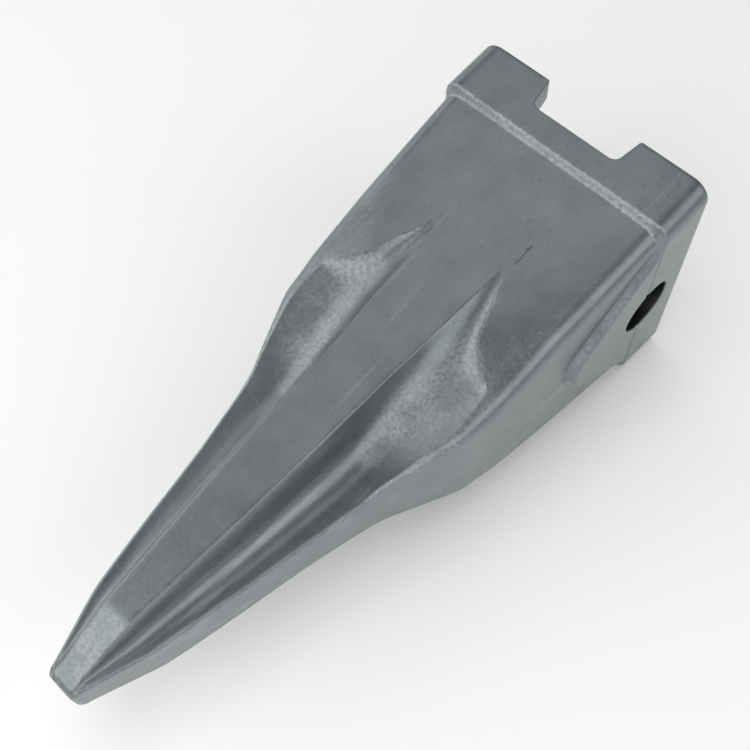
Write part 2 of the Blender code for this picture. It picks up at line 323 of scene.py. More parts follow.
def outer_quarter(x):
    """Points (y, z) in mm of one quarter section, for a column vector x of stations."""
    collar = smoothstep(x, COLLAR_START, COLLAR_TOP)
    rise = COLLAR_HEIGHT[0] + (COLLAR_HEIGHT[1] - COLLAR_HEIGHT[0]) * np.clip(
        (x - COLLAR_TOP) / (REAR - COLLAR_TOP), 0.0, 1.0)
    body_side, body_edge = side_width(x), edge_height(x)
    side = body_side + (SIDE_OUT - body_side) * collar
    edge = body_edge + (rise - body_edge) * collar
    radius = edge_radius(x) + (COLLAR_RADIUS - edge_radius(x)) * collar
    spine = spine_width(x)
    flute_end = side - radius

    def top_at(share):
        """Height of the top face at these shares, raised to the collar where there is one."""
        height = flute_height(x, share, flute_end - spine)
        return height + (rise - height) * collar

    crest_share = 0.35 * CREST_ROUND / (flute_end - spine)
    split = np.clip(scoop_reach(x), 0.10, 0.93)
    inner = np.linspace(0.0, 1.0, SCOOP_COLUMNS + 1)[None, :]
    outer = np.linspace(0.0, 1.0, SHOULDER_COLUMNS + 1)[None, 1:]
    shares = np.concatenate([crest_share + (split - crest_share) * inner,
                             split + (1.0 - split) * outer], axis=1)
    flute_y = spine + (flute_end - spine) * shares
    flute_z = top_at(shares)
    top = top_at(np.zeros_like(x))
    spine_y = (spine - CREST_ROUND) * np.linspace(0.0, 1.0, SPINE_COLUMNS + 1)[None, :]
    spine_z = top + 0.0 * spine_y
    t = np.linspace(0.0, 1.0, CREST_COLUMNS + 1)[None, 1:-1]
    crest_y = (1 - t) ** 2 * (spine - CREST_ROUND) + 2 * t * (1 - t) * spine + t ** 2 * flute_y[:, :1]
    crest_z = (1 - t ** 2) * top + t ** 2 * flute_z[:, :1]
    angle = np.linspace(0.0, 0.5 * np.pi, CORNER_COLUMNS + 1)[None, 1:]
    corner_y = side - radius + radius * np.sin(angle)
    corner_z = edge - radius + radius * np.cos(angle)
    side_z = (edge - radius) * np.linspace(1.0, 0.0, SIDE_COLUMNS + 1)[None, 1:]
    pad = pad_mask(x, side_z) * (1.0 - collar) * smoothstep(x, PAD_NOSE - 40, PAD_NOSE - 30)
    side_y = side + (SIDE_OUT - side) * pad
    y = np.concatenate([spine_y, crest_y, flute_y, corner_y, side_y], axis=1)
    z = np.concatenate([spine_z, crest_z, flute_z, corner_z, side_z], axis=1)
    return y, z


def whole_ring(y, z):
    """Four mirrored copies of a quarter (from +Z to +Y) as one closed ring."""
    y = np.concatenate([y, y[:, -2::-1], -y[:, 1:], -y[:, -2:0:-1]], axis=1)
    z = np.concatenate([z, -z[:, -2::-1], -z[:, 1:], z[:, -2:0:-1]], axis=1)
    return y, z


def rings_at(x, y, z):
    """Rings in metres from stations and ring coordinates in mm."""
    return np.stack([np.broadcast_to(x, y.shape), y, z], axis=-1) * MM


FLAT_COLUMNS = SPINE_COLUMNS + CREST_COLUMNS + SCOOP_COLUMNS + SHOULDER_COLUMNS
print("columns in a ring:", 4 * (FLAT_COLUMNS + CORNER_COLUMNS + SIDE_COLUMNS))

# %% [markdown]
# ## Stations and tip
#
# Stations lie close together where the shape turns quickly, at the tip, the shoulder and the
# rear rim, and further apart on the long faces. The blunt tip is built from the same section,
# shrunk ring by ring to the middle of its face.

# %% Stations and tip
TIP_ROUND = 5.0
TIP_INSET = (1.9, 3.2)
TIP_STEPS = np.array([0.0, 0.1, 0.25, 0.45, 0.65, 0.85])[:, None]
TIP_BULGE = 0.4
RIM_OUTER_ROUND = 1.4


def stations():
    """Places along the outside, in mm, from behind the tip's round to the rim's round."""
    runs = [(TIP + TIP_ROUND, -262, 1.8), (-262, -160, 2.3), (-160, -50, 1.35),
            (-50, -6, 1.3), (-6, -0.5, 0.42), (-0.5, REAR - RIM_OUTER_ROUND, 1.7)]
    pieces = [np.arange(low, high - 0.2 * step, step) for low, high, step in runs]
    return np.concatenate(pieces + [[REAR - RIM_OUTER_ROUND]])[:, None]


def shrunk(y, z, inset_y, inset_z):
    """A ring scaled in Y and Z so that its width and height lose these insets, in mm, a side."""
    half_y = np.abs(y).max(axis=1, keepdims=True)
    half_z = np.abs(z).max(axis=1, keepdims=True)
    return y * (half_y - inset_y) / half_y, z * (half_z - inset_z) / half_z


def tip_rings():
    """The blunt front: rings that grow from the middle of a slightly bulged face, then lean
    back to the bevel's end. The lean starts steep and eases, so the bevel ends in a line."""
    y, z = whole_ring(*outer_quarter(np.array([[TIP + TIP_ROUND]])))
    face = np.array([0.12, 0.3, 0.5, 0.7, 0.86])[:, None]
    flat_y, flat_z = shrunk(y, z, *TIP_INSET)
    bulge = TIP_BULGE * face ** 2
    count = len(TIP_STEPS)
    left = 0.4 * (1.0 - TIP_STEPS) + 0.6 * (1.0 - TIP_STEPS) ** 3
    lean_y, lean_z = shrunk(np.repeat(y, count, 0), np.repeat(z, count, 0),
                            TIP_INSET[0] * left, TIP_INSET[1] * left)
    lean_x = TIP + TIP_BULGE + (TIP_ROUND - TIP_BULGE) * TIP_STEPS
    return np.concatenate([rings_at(TIP + bulge, flat_y * face, flat_z * face),
                           rings_at(lean_x, lean_y, lean_z)])


print("outside has", len(stations()), "stations behind", len(tip_rings()), "rings of the tip")

# %% [markdown]
# ## Socket and rear rim
#
# A sand core leaves the socket, a hollow that tapers to fit the nose of the adapter. The rings
# go on round the rear rim and down inside the socket to its floor, with as many columns as
# the outside, so the whole casting is one closed skin with a real wall thickness.

# %% Socket and rim
RIM_INNER_ROUND = 2.0
SOCKET_FLOOR_X = -118.0
# Half width, half height and corner radius, in mm.
SOCKET_MOUTH, SOCKET_END = np.array([51.5, 55.0, 12.0]), np.array([37.0, 16.5, 8.0])
SOCKET_FLOOR_ROUND = 6.0


def socket_quarter(x, grow=0.0):
    """Quarter of the socket's rounded-rectangle section, with the outside's column count."""
    share = (x - SOCKET_FLOOR_X) / (REAR - SOCKET_FLOOR_X)
    size = SOCKET_END + (SOCKET_MOUTH - SOCKET_END) * share
    half_y, half_z, radius = (size[:, i:i + 1] + grow for i in range(3))
    radius = np.maximum(radius, 1.0)
    top_y = (half_y - radius) * np.linspace(0.0, 1.0, FLAT_COLUMNS + 1)[None, :]
    angle = np.linspace(0.0, 0.5 * np.pi, CORNER_COLUMNS + 1)[None, 1:]
    side_z = (half_z - radius) * np.linspace(1.0, 0.0, SIDE_COLUMNS + 1)[None, 1:]
    y = np.concatenate([top_y, half_y - radius + radius * np.sin(angle), half_y + 0 * side_z], 1)
    z = np.concatenate([half_z + 0 * top_y, half_z - radius + radius * np.cos(angle), side_z], 1)
    return y, z


def rim_rings():
    """Round the outer rear edge, across the rear face, round the inner edge."""
    outer_y, outer_z = whole_ring(*outer_quarter(np.array([[REAR - RIM_OUTER_ROUND]])))
    turn = np.radians([22, 45, 68, 90])[:, None]
    round_y, round_z = shrunk(np.repeat(outer_y, 4, 0), np.repeat(outer_z, 4, 0),
                              *[RIM_OUTER_ROUND * (1.0 - np.cos(turn))] * 2)
    rings = [rings_at(REAR - RIM_OUTER_ROUND * (1.0 - np.sin(turn)), round_y, round_z)]
    inner_turn = np.radians([90, 68, 45, 22, 0])[:, None]
    grow = RIM_INNER_ROUND * (1.0 - np.cos(inner_turn))
    inner_x = REAR - RIM_INNER_ROUND * (1.0 - np.sin(inner_turn))
    inner_y, inner_z = whole_ring(*socket_quarter(np.full_like(grow, REAR), grow))
    for share in (0.33, 0.67):
        rings.append(rings_at(np.array([[REAR]]), round_y[-1:] + share * (inner_y[:1] - round_y[-1:]),
                              round_z[-1:] + share * (inner_z[:1] - round_z[-1:])))
    rings.append(rings_at(inner_x, inner_y, inner_z))
    return np.concatenate(rings)


def socket_rings():
    """Down the tapered socket, round the edge of its floor and in to the middle."""
    x = np.linspace(REAR - RIM_INNER_ROUND - 4, SOCKET_FLOOR_X + SOCKET_FLOOR_ROUND, 16)[:, None]
    walls = rings_at(x, *whole_ring(*socket_quarter(x)))
    turn = np.radians([15, 30, 45, 60, 75, 90])[:, None]
    y, z = whole_ring(*socket_quarter(np.full_like(turn, SOCKET_FLOOR_X)))
    inset = SOCKET_FLOOR_ROUND * (1.0 - np.cos(turn))
    round_y, round_z = shrunk(y, z, inset, inset)
    floor_x = SOCKET_FLOOR_X + SOCKET_FLOOR_ROUND * (1.0 - np.sin(turn))
    turned = rings_at(floor_x, round_y, round_z)
    inward = np.array([0.75, 0.5, 0.25])[:, None]
    flat = rings_at(SOCKET_FLOOR_X + 0 * inward, round_y[-1:] * inward, round_z[-1:] * inward)
    return np.concatenate([walls, turned, flat])


print("socket is", SOCKET_MOUTH[0] * 2, "mm wide at its mouth and", SOCKET_END[0] * 2, "at its end")

# %% [markdown]
# ## One skin for the casting
#
# The four runs of rings are laid end to end, and one call closes them into a mesh.

# %% The casting's mesh


def casting_rings():
    """Every ring in order: the tip's, the outside's, the rim's and the socket's."""
    x = stations()
    body = rings_at(x, *whole_ring(*outer_quarter(x)))
    return np.concatenate([tip_rings(), body, rim_rings(), socket_rings()])


rings = casting_rings()
casting = add_piece("tooth_surface", ring_tube("tooth_surface", rings, inside_out=True))
print("rings", rings.shape[0], "columns", rings.shape[1], "faces", len(casting.data.polygons))

# %% [markdown]
# ## Notches and bores
#
# The notches and the bores are machined or cored after the outside is drawn, so they are
# taken out of it with cutters. Each cutter flares where it leaves the metal, and the flare
# leaves a rounded edge behind, as a fettler's grinder does.

# %% Notch cutter
NOTCH_FLOOR_X = 10.8
NOTCH_HALF = (23.6, 25.9)
NOTCH_CORNER = 4.0
LUG_CORNER = 3.0
NOTCH_EDGE = 0.8


def notch_outline():
    """Half of the notch in plan, from its middle line out past the rear face: floor, inside
    corner arc, slanted wall, and an outside corner arc that meets the rear face."""
    wall = Vector((REAR - NOTCH_FLOOR_X, NOTCH_HALF[1] - NOTCH_HALF[0])).normalized()
    floor = [(NOTCH_FLOOR_X, y) for y in np.linspace(0.0, NOTCH_HALF[0] - NOTCH_CORNER, 9)]
    turn = np.radians(np.linspace(10, 82, 7))
    inside = [(NOTCH_FLOOR_X + NOTCH_CORNER * (1 - math.cos(a)),
               NOTCH_HALF[0] - NOTCH_CORNER * (1 - math.sin(a))) for a in turn]
    start = Vector(inside[-1])
    length = (REAR - 2.6 - start.x) / wall.x
    straight = [tuple(start + wall * length * s) for s in (0.25, 0.5, 0.75, 1.0)]
    last = Vector(straight[-1])
    outside = [(last.x + LUG_CORNER * math.sin(a), last.y + LUG_CORNER * (1 - math.cos(a)))
               for a in np.radians([12, 24, 36, 48, 60])]
    end = Vector(outside[-1])
    away = [(end.x + 3, end.y + 5.0), (end.x + 8, end.y + 9.0)]
    half = np.array(floor + inside + straight + outside + away)
    return np.concatenate([half[::-1] * [1, -1], half[1:]])


def ceiling(x):
    """Half height of the socket at x."""
    share = (x - SOCKET_FLOOR_X) / (REAR - SOCKET_FLOOR_X)
    return SOCKET_END[1] + (SOCKET_MOUTH[1] - SOCKET_END[1]) * share


def collar_top(x):
    """Height of the collar's top face at x, which rises towards the rear."""
    return COLLAR_HEIGHT[0] + (COLLAR_HEIGHT[1] - COLLAR_HEIGHT[0]) * (x - COLLAR_TOP) / (
        REAR - COLLAR_TOP)


def notch_cutter(sign):
    """The notch's outline carried up through the wall. Level by level it is offset outwards:
    by a quarter round where it leaves the socket's ceiling, by nothing inside the wall, and by
    a quarter round again where it leaves the collar's top."""
    outline = notch_outline()
    ahead = np.roll(outline, -1, axis=0) - np.roll(outline, 1, axis=0)
    ahead[0], ahead[-1] = outline[1] - outline[0], outline[-1] - outline[-2]
    normal = np.stack([-ahead[:, 1], ahead[:, 0]], 1) / np.linalg.norm(ahead, axis=1)[:, None]
    turn = np.radians([0, 22, 45, 68, 90])
    flare = NOTCH_EDGE * (1.0 - np.cos(turn))
    rise = NOTCH_EDGE * (np.sin(turn) - 1.0)
    levels = []
    for offset, height in zip(flare[::-1], -rise[::-1]):
        levels.append((offset, lambda x, h=height: ceiling(x) + h))
    for offset, height in zip(flare, rise):
        levels.append((offset, lambda x, h=height: collar_top(x) + h))
    levels = [(flare[-1], lambda x: ceiling(x) - 6.0)] + levels
    levels.append((flare[-1], lambda x: collar_top(x) + 8.0))
    rows = []
    for offset, height in levels:
        plan = outline + normal * offset
        rows.append(np.column_stack([plan, sign * height(outline[:, 0])]) * MM)
    mesh = ring_tube("notch_cutter", np.array(rows), inside_out=sign > 0)
    return add_piece("notch_cutter", mesh)


notch_cutters = [notch_cutter(1), notch_cutter(-1)]
print("each notch is", NOTCH_HALF[0] * 2, "mm wide at its floor")

# %% [markdown]
# ## The bores
#
# A bore is a turned shape: a profile of (distance along the pin, radius) carried round Y. Its
# radius grows by a quarter round at the pad's face, as a deburred hole has. Both walls and
# both notches are then cut in one go.

# %% Bore cutter and the cut
BORE_RADIUS = 14.2
BORE_EDGE = 1.1
SHARP_ANGLE = math.radians(38)


def turned(name, profile, columns, inside_out=False):
    """A turned shape along Y: one ring of radius r at distance y for each (y, r) in mm. A
    point of it is (r cos a, y, r sin a) for the angle a."""
    y, radius = np.array(profile, float).T[:, :, None]
    angle = np.linspace(0.0, 2 * np.pi, columns, endpoint=False)[None, :]
    rows = np.stack([radius * np.cos(angle), y + 0 * angle, radius * np.sin(angle)], -1) * MM
    return ring_tube(name, rows, inside_out)


def bore_cutter(sign):
    """A cylinder through one side wall that flares by a quarter round at the pad's face."""
    turn = np.radians(np.linspace(0, 90, 6))
    profile = [(40.0, BORE_RADIUS), (50.0, BORE_RADIUS)]
    profile += [(SIDE_OUT - BORE_EDGE * (1 - math.sin(a)),
                 BORE_RADIUS + BORE_EDGE * (1 - math.cos(a))) for a in turn]
    profile += [(SIDE_OUT + 4.0, BORE_RADIUS + BORE_EDGE)]
    mesh = turned("bore_cutter", [(sign * y, r) for y, r in profile], 96, inside_out=sign > 0)
    return add_piece("bore_cutter", mesh)


cut(casting, notch_cutters + [bore_cutter(1), bore_cutter(-1)])
casting.data.name = "tooth_surface"
casting.data.shade_smooth()
casting.data.set_sharp_from_angle(angle=SHARP_ANGLE)
print("casting has", sum(len(p.vertices) - 2 for p in casting.data.polygons), "triangles")
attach(casting, "tooth")
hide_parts("tooth_casting")

# %% [markdown]
# ## Effects that the finishes share
#
# Grain, edge wear and tool marks turn up in more than one finish here, so each is a node group
# with named sockets, built once. A group only puts out masks and values; every material keeps
# its own shader. All of them read Object coordinates, which are metres in this frame, so a
# size in millimetres becomes a texture scale of 1000 divided by that size.

# %% Node helpers


def node(tree, kind, inputs=None, **settings):
    """Add a node, set its plain properties, then fill its inputs. A value that is a socket is
    linked and any other value is set."""
    made = tree.nodes.new(kind)
    for key, value in settings.items():
        setattr(made, key, value)
    for key, value in (inputs or {}).items():
        if isinstance(value, bpy.types.NodeSocket):
            tree.links.new(value, made.inputs[key])
        else:
            made.inputs[key].default_value = value
    return made


def sum_up(tree, operation, first, second):
    """The result socket of a Math node."""
    return node(tree, "ShaderNodeMath", {0: first, 1: second}, operation=operation).outputs[0]


def ramped(tree, value, low, high, start=0.0, end=1.0):
    """Map a value's stretch low to high onto start to end, and hold it there outside."""
    made = node(tree, "ShaderNodeMapRange", {"Value": value, "From Min": low, "From Max": high,
                                             "To Min": start, "To Max": end})
    return made.outputs["Result"]


def blended(tree, mask, first, second):
    """First colour where the mask is 0 and second where it is 1."""
    made = node(tree, "ShaderNodeMix", {0: mask, 6: first, 7: second}, data_type="RGBA")
    return made.outputs[2]


def group(name, inputs, outputs):
    """An empty node group with named sockets, and its input and output nodes."""
    tree = bpy.data.node_groups.new(name, "ShaderNodeTree")
    for socket, kind, default in inputs:
        made = tree.interface.new_socket(socket, in_out="INPUT", socket_type=kind)
        if default is not None:
            made.default_value = default
    for socket in outputs:
        tree.interface.new_socket(socket, in_out="OUTPUT", socket_type="NodeSocketFloat")
    return tree, tree.nodes.new("NodeGroupInput"), tree.nodes.new("NodeGroupOutput")


def use(tree, shared, **inputs):
    """Place a shared effect in a material. Underscores stand for spaces in socket names."""
    values = {key.replace("_", " "): value for key, value in inputs.items()}
    return node(tree, "ShaderNodeGroup", values, node_tree=shared).outputs


print("node helpers ready")

# %% [markdown]
# ### Grain
#
# A casting, a blasted skin and moulded rubber all have a grain: fine bumps, broader mottling
# and a few pits. Three noises at three sizes give the three masks. A displacement would need
# millions of faces for grain this fine, so it goes into colour, roughness and bump.

# %% Grain group


def noise(tree, vector, size_mm, ratio=1.0, detail=4.0, rough=0.6):
    """Noise whose features are about size_mm times ratio across."""
    scale = sum_up(tree, "DIVIDE", 1000.0 / ratio, size_mm)
    made = node(tree, "ShaderNodeTexNoise", {"Vector": vector, "Scale": scale, "Detail": detail,
                                             "Roughness": rough})
    return made.outputs[0]


def grain_group():
    """Masks of fine bumps, broad mottling and pits; Size is the fine bumps' size in mm."""
    tree, given, result = group(
        "grain",
        [("Vector", "NodeSocketVector", None), ("Size", "NodeSocketFloat", 2.0),
         ("Pit Amount", "NodeSocketFloat", 0.3)], ["Fine", "Mottle", "Pits"])
    vector, size = given.outputs["Vector"], given.outputs["Size"]
    fine = ramped(tree, noise(tree, vector, size), 0.30, 0.70)
    mottle = ramped(tree, noise(tree, vector, size, 9.0, 3.0), 0.32, 0.68)
    spots = noise(tree, vector, size, 1.6, 2.0, 0.5)
    edge = sum_up(tree, "SUBTRACT", 0.80, sum_up(tree, "MULTIPLY", given.outputs["Pit Amount"], 0.3))
    above = sum_up(tree, "SUBTRACT", spots, edge)
    tree.links.new(fine, result.inputs["Fine"])
    tree.links.new(mottle, result.inputs["Mottle"])
    tree.links.new(ramped(tree, above, 0.0, 0.05), result.inputs["Pits"])
    return tree


GRAIN = grain_group()
print("grain group has", len(GRAIN.nodes), "nodes")

# %% [markdown]
# ### Edge wear and painted hollow shade
#
# Handling rubs a crisp edge bright first. Pointiness tells how convex the surface is at each
# vertex, so it finds those edges without any painting, and a noise breaks the rubbed line up.
# Low pointiness finds the hollows instead, and that mask darkens creases and nooks as painted
# shade.

# %% Edge wear and hollow shade group


def edge_wear_and_shade_group():
    """Masks of rubbed edges, broken up into patches, and of hollows, used for painted shade."""
    tree, given, result = group(
        "edge_wear_and_shade",
        [("Vector", "NodeSocketVector", None), ("Start", "NodeSocketFloat", 0.53),
         ("End", "NodeSocketFloat", 0.60), ("Patch Size", "NodeSocketFloat", 6.0)],
        ["Worn", "Hollow_Shade"])
    pointy = node(tree, "ShaderNodeNewGeometry").outputs["Pointiness"]
    edge = node(tree, "ShaderNodeMapRange", {"Value": pointy, "From Min": given.outputs["Start"],
                                             "From Max": given.outputs["End"]}).outputs["Result"]
    patches = ramped(tree, noise(tree, given.outputs["Vector"], given.outputs["Patch Size"]),
                     0.30, 0.62, 0.25, 1.0)
    tree.links.new(sum_up(tree, "MULTIPLY", edge, patches), result.inputs["Worn"])
    # Hollows: low pointiness; the coat uses this mask as painted shade.
    tree.links.new(ramped(tree, pointy, 0.49, 0.44), result.inputs["Hollow_Shade"])
    return tree


EDGE_WEAR_AND_SHADE = edge_wear_and_shade_group()
print("edge wear group has", len(EDGE_WEAR_AND_SHADE.nodes), "nodes")

# %% [markdown]
# ### Tool marks
#
# A turned or ground face has fine lines that run one way. A noise squeezed hard along one axis
# and drawn out along the others gives such lines; the material's Mapping node picks the axis.

# %% Tool marks group


def tool_marks_group():
    """Masks of fine lines and of the few deeper scratches among them."""
    tree, given, result = group(
        "tool_marks", [("Vector", "NodeSocketVector", None), ("Pitch", "NodeSocketFloat", 0.35)],
        ["Lines", "Scratches"])
    lines = noise(tree, given.outputs["Vector"], given.outputs["Pitch"], 1.0, 3.0, 0.7)
    broad = noise(tree, given.outputs["Vector"], given.outputs["Pitch"], 4.0, 2.0, 0.5)
    tree.links.new(ramped(tree, lines, 0.25, 0.75), result.inputs["Lines"])
    tree.links.new(ramped(tree, broad, 0.64, 0.70), result.inputs["Scratches"])
    return tree


TOOL_MARKS = tool_marks_group()
print("tool marks group has", len(TOOL_MARKS.nodes), "nodes")

# %% [markdown]
# ## The casting's finish
#
# A new tooth is blasted and then given a thin grey-green coat, so it is metal seen through a
# film: a dark, satin metallic base. Steep faces that look towards the tip come out of the mould
# rougher, so a mask made from the surface's own direction brings in more grain there; it also
# lays a much paler colour on them, a painted highlight for the front lamps' light on those
# slopes. First come its colours, and two helpers that open and close every material here.

# %% Colours and material helpers
COAT_DARK = (0.189, 0.214, 0.221, 1.0)
COAT_PALE = (0.256, 0.284, 0.292, 1.0)
# The third colour is the rough grain's paler tone, and also a painted highlight on the slopes facing
# the tip.
ROUGH_SKIN_AND_HIGHLIGHT = (0.440, 0.468, 0.472, 1.0)
# The fourth colour darkens real pits and the cold lap, and also paints shade into hollows.
PIT_AND_SHADE_COLOUR = (0.105, 0.115, 0.118, 1.0)
# The fifth colour is near-black painted shade in the bores, over a darker cored skin.
CORED_SKIN_AND_SHADE = (0.022, 0.023, 0.024, 1.0)
BRIGHT_EDGE = (0.560, 0.590, 0.590, 1.0)


def start_material(name):
    """A node material and its tree, Object coordinates and Principled BSDF."""
    made = bpy.data.materials.new(name)
    made.use_nodes = True
    tree = made.node_tree
    place = node(tree, "ShaderNodeTexCoord").outputs["Object"]
    return made, tree, place, tree.nodes["Principled BSDF"]


def finish_bump(tree, shader, height, depth_mm, strength):
    """Feed a height, 0 to 1, through a Bump node of that depth to the shader."""
    bump = node(tree, "ShaderNodeBump", {"Height": height, "Distance": depth_mm * MM,
                                         "Strength": strength})
    tree.links.new(bump.outputs["Normal"], shader.inputs["Normal"])


print("coat runs from", COAT_DARK[:3], "to", COAT_PALE[:3])

# %% [markdown]
# ### A cold lap
#
# Where two flows of molten metal meet without quite joining, a short wavy line stays in the
# skin. This one lies on top, just behind the near scoop. It could be cut into the mesh, but it
# is only half a millimetre wide, so it is a mask: near a line, within a length, on top only.

# %% Cold lap
LAP_MIDDLE = (-45.5, -21.0)
LAP_HALF_LENGTH = (4.5, 6.5)
LAP_HALF_WIDTH = (0.25, 0.60)
LAP_WAVE = (3.0, 1.0)
LAP_HEIGHT = (40.0, 42.0)


def lap_mask(tree, place):
    """1 within the lap's half length and half width of its middle, fading to 0 at the larger
    of each pair, in mm. A noise of the first LAP_WAVE size bends it by the second."""
    at = node(tree, "ShaderNodeSeparateXYZ", {0: place}).outputs
    size, sway = LAP_WAVE
    wave = ramped(tree, noise(tree, place, size), 0.3, 0.7, -sway * MM, sway * MM)
    offset = sum_up(tree, "SUBTRACT", at[1], LAP_MIDDLE[1] * MM)
    across = sum_up(tree, "ABSOLUTE", sum_up(tree, "ADD", offset, wave), 0.0)
    along = sum_up(tree, "ABSOLUTE", sum_up(tree, "SUBTRACT", at[0], LAP_MIDDLE[0] * MM), 0.0)
    near = ramped(tree, across, LAP_HALF_WIDTH[1] * MM, LAP_HALF_WIDTH[0] * MM)
    short = ramped(tree, along, LAP_HALF_LENGTH[1] * MM, LAP_HALF_LENGTH[0] * MM)
    top = ramped(tree, at[2], LAP_HEIGHT[0] * MM, LAP_HEIGHT[1] * MM)
    return sum_up(tree, "MULTIPLY", sum_up(tree, "MULTIPLY", near, short), top)


print("cold lap is about", 2 * LAP_HALF_LENGTH[0], "mm long")

# %% [markdown]
# ### Rough skin with a painted highlight, and painted shade in the bores
#
# Two more masks say where the mould left its mark, and where light and shade are painted. The
# rough one takes the surface's normal: it has to lean towards the tip and still face up or
# down, which picks the ramps, the tip's bevel and the front of the collar; it gives them real
# rougher grain and a painted highlight. The cored one takes the distance from the pin's axis,
# which picks the bores, and turns them near black as painted shade over a darker cored skin.

# %% Skin masks


# This mask gives real rougher grain and bump, and in the coat's colour a painted highlight.
def rough_skin_and_highlight_mask(tree, mottle):
    """Mask of the slopes that face the tip, broken up by the mottling."""
    normal = node(tree, "ShaderNodeNewGeometry").outputs["Normal"]
    facing = node(tree, "ShaderNodeSeparateXYZ", {0: normal}).outputs
    level = ramped(tree, sum_up(tree, "ABSOLUTE", facing[2], 0.0), 0.25, 0.6)
    forward = sum_up(tree, "MULTIPLY", ramped(tree, facing[0], -0.20, -0.42), level)
    return sum_up(tree, "MULTIPLY", forward, ramped(tree, mottle, 0.1, 0.75, 0.35, 1.0))


# This mask paints near-black shade into the bores, over a darker cored skin.
def cored_and_shade_mask(tree, place):
    """1 within the bore's radius of the pin's axis: the length of (x, 0, z)."""
    flat = node(tree, "ShaderNodeMapping", {"Vector": place, "Scale": (1.0, 0.0, 1.0)}).outputs[0]
    from_pin = node(tree, "ShaderNodeVectorMath", {0: flat}, operation="LENGTH").outputs["Value"]
    return ramped(tree, from_pin, (BORE_RADIUS + 0.6) * MM, (BORE_RADIUS + 0.1) * MM)


print("cored skin reaches", BORE_RADIUS + 0.1, "mm from the pin's axis")

# %% [markdown]
# ### The coat itself
#
# Colour is built up in layers, each blended in by a mask: mottled coat, rough skin that is also a
# painted highlight on the slopes facing the tip, scratches, pits, the lap, painted shade in the
# hollows, rubbed edges and last painted shade that turns the bores near black. The same masks
# then drive roughness, metallic value and bump, so a pit is dark, dull and low all at once.

# %% Cast steel coat


def over(tree, colour, mask, amount, top_colour):
    """A colour laid over another where a mask is 1, at part strength."""
    return blended(tree, sum_up(tree, "MULTIPLY", mask, amount), colour, top_colour)


def coat_colour(tree, skin, masks):
    """Base colour of the coat from the grain's masks and the layers' masks."""
    mottled = blended(tree, skin["Mottle"], COAT_DARK, COAT_PALE)
    speckled = blended(tree, skin["Fine"], COAT_DARK, COAT_PALE)
    colour = blended(tree, 0.45, mottled, speckled)
    # Painted highlight: slopes facing the tip turn much paler, standing in for the front lamps'
    # light, over their real rougher grain.
    colour = over(tree, colour, masks["rough"], skin["Fine"], ROUGH_SKIN_AND_HIGHLIGHT)
    colour = over(tree, colour, masks["scratches"], 0.16, BRIGHT_EDGE)
    colour = over(tree, colour, skin["Pits"], 0.55, PIT_AND_SHADE_COLOUR)
    colour = over(tree, colour, masks["lap"], 0.75, PIT_AND_SHADE_COLOUR)
    # Painted shade: concave hollows, such as the nook between collar and body, darken where shade
    # falls.
    colour = over(tree, colour, masks["hollow"], 0.40, PIT_AND_SHADE_COLOUR)
    colour = over(tree, colour, masks["worn"], 0.55, BRIGHT_EDGE)
    # Painted shade: within the bore's radius of the pin's axis the coat turns near black, standing in
    # for the shade inside the bores.
    return over(tree, colour, masks["cored_and_shade"], 0.93, CORED_SKIN_AND_SHADE)


def coat_relief(tree, skin, masks):
    """Height for the bump: fine grain, stronger on rough skin, plus mottling, less the pits
    and the lap."""
    strength = ramped(tree, masks["rough"], 0.0, 1.0, 0.28, 1.0)
    relief = sum_up(tree, "MULTIPLY", skin["Fine"], strength)
    relief = sum_up(tree, "ADD", relief, sum_up(tree, "MULTIPLY", skin["Mottle"], 0.5))
    relief = sum_up(tree, "SUBTRACT", relief, sum_up(tree, "MULTIPLY", skin["Pits"], 0.8))
    return sum_up(tree, "SUBTRACT", relief, masks["lap"])


def cast_steel_coat():
    """Satin coat over cast steel: layered colour, varied roughness, dull pits and bump."""
    made, tree, place, shader = start_material("cast_steel_coat")
    skin = use(tree, GRAIN, Vector=place, Size=1.7, Pit_Amount=0.36)
    wear_and_shade = use(tree, EDGE_WEAR_AND_SHADE, Vector=place, Start=0.535, End=0.62, Patch_Size=7.0)
    stretched = node(tree, "ShaderNodeMapping", {"Vector": place, "Rotation": (0.0, 0.0, 0.5),
                                                 "Scale": (0.035, 1.0, 0.3)}).outputs[0]
    marks = use(tree, TOOL_MARKS, Vector=stretched, Pitch=1.6)
    masks = {"rough": rough_skin_and_highlight_mask(tree, skin["Mottle"]), "scratches": marks["Scratches"],
             "lap": lap_mask(tree, place), "hollow": wear_and_shade["Hollow_Shade"], "worn": wear_and_shade["Worn"],
             "cored_and_shade": cored_and_shade_mask(tree, place)}
    tree.links.new(coat_colour(tree, skin, masks), shader.inputs["Base Color"])
    dull = ramped(tree, skin["Fine"], 0.0, 1.0, 0.31, 0.40)
    dull = sum_up(tree, "ADD", dull, sum_up(tree, "MULTIPLY", masks["rough"], 0.10))
    tree.links.new(dull, shader.inputs["Roughness"])
    tree.links.new(ramped(tree, skin["Pits"], 0.0, 1.0, 0.88, 0.45), shader.inputs["Metallic"])
    finish_bump(tree, shader, coat_relief(tree, skin, masks), 0.20, 0.5)
    return made


casting.data.materials.clear()
casting.data.materials.append(cast_steel_coat())
print("casting's material has", len(casting.data.materials[0].node_tree.nodes), "nodes")

# %% [markdown]
# ## The retaining pin
#
# The pin is a turned bar with a chamfer and a lathe's centre hole in each end, and a milled
# pocket in its front for the lock. Its outside is a profile of (distance along the pin,
# radius) turned round Y. The pocket is taken out with a cutter that is a rounded rectangle,
# which is what an end mill leaves.

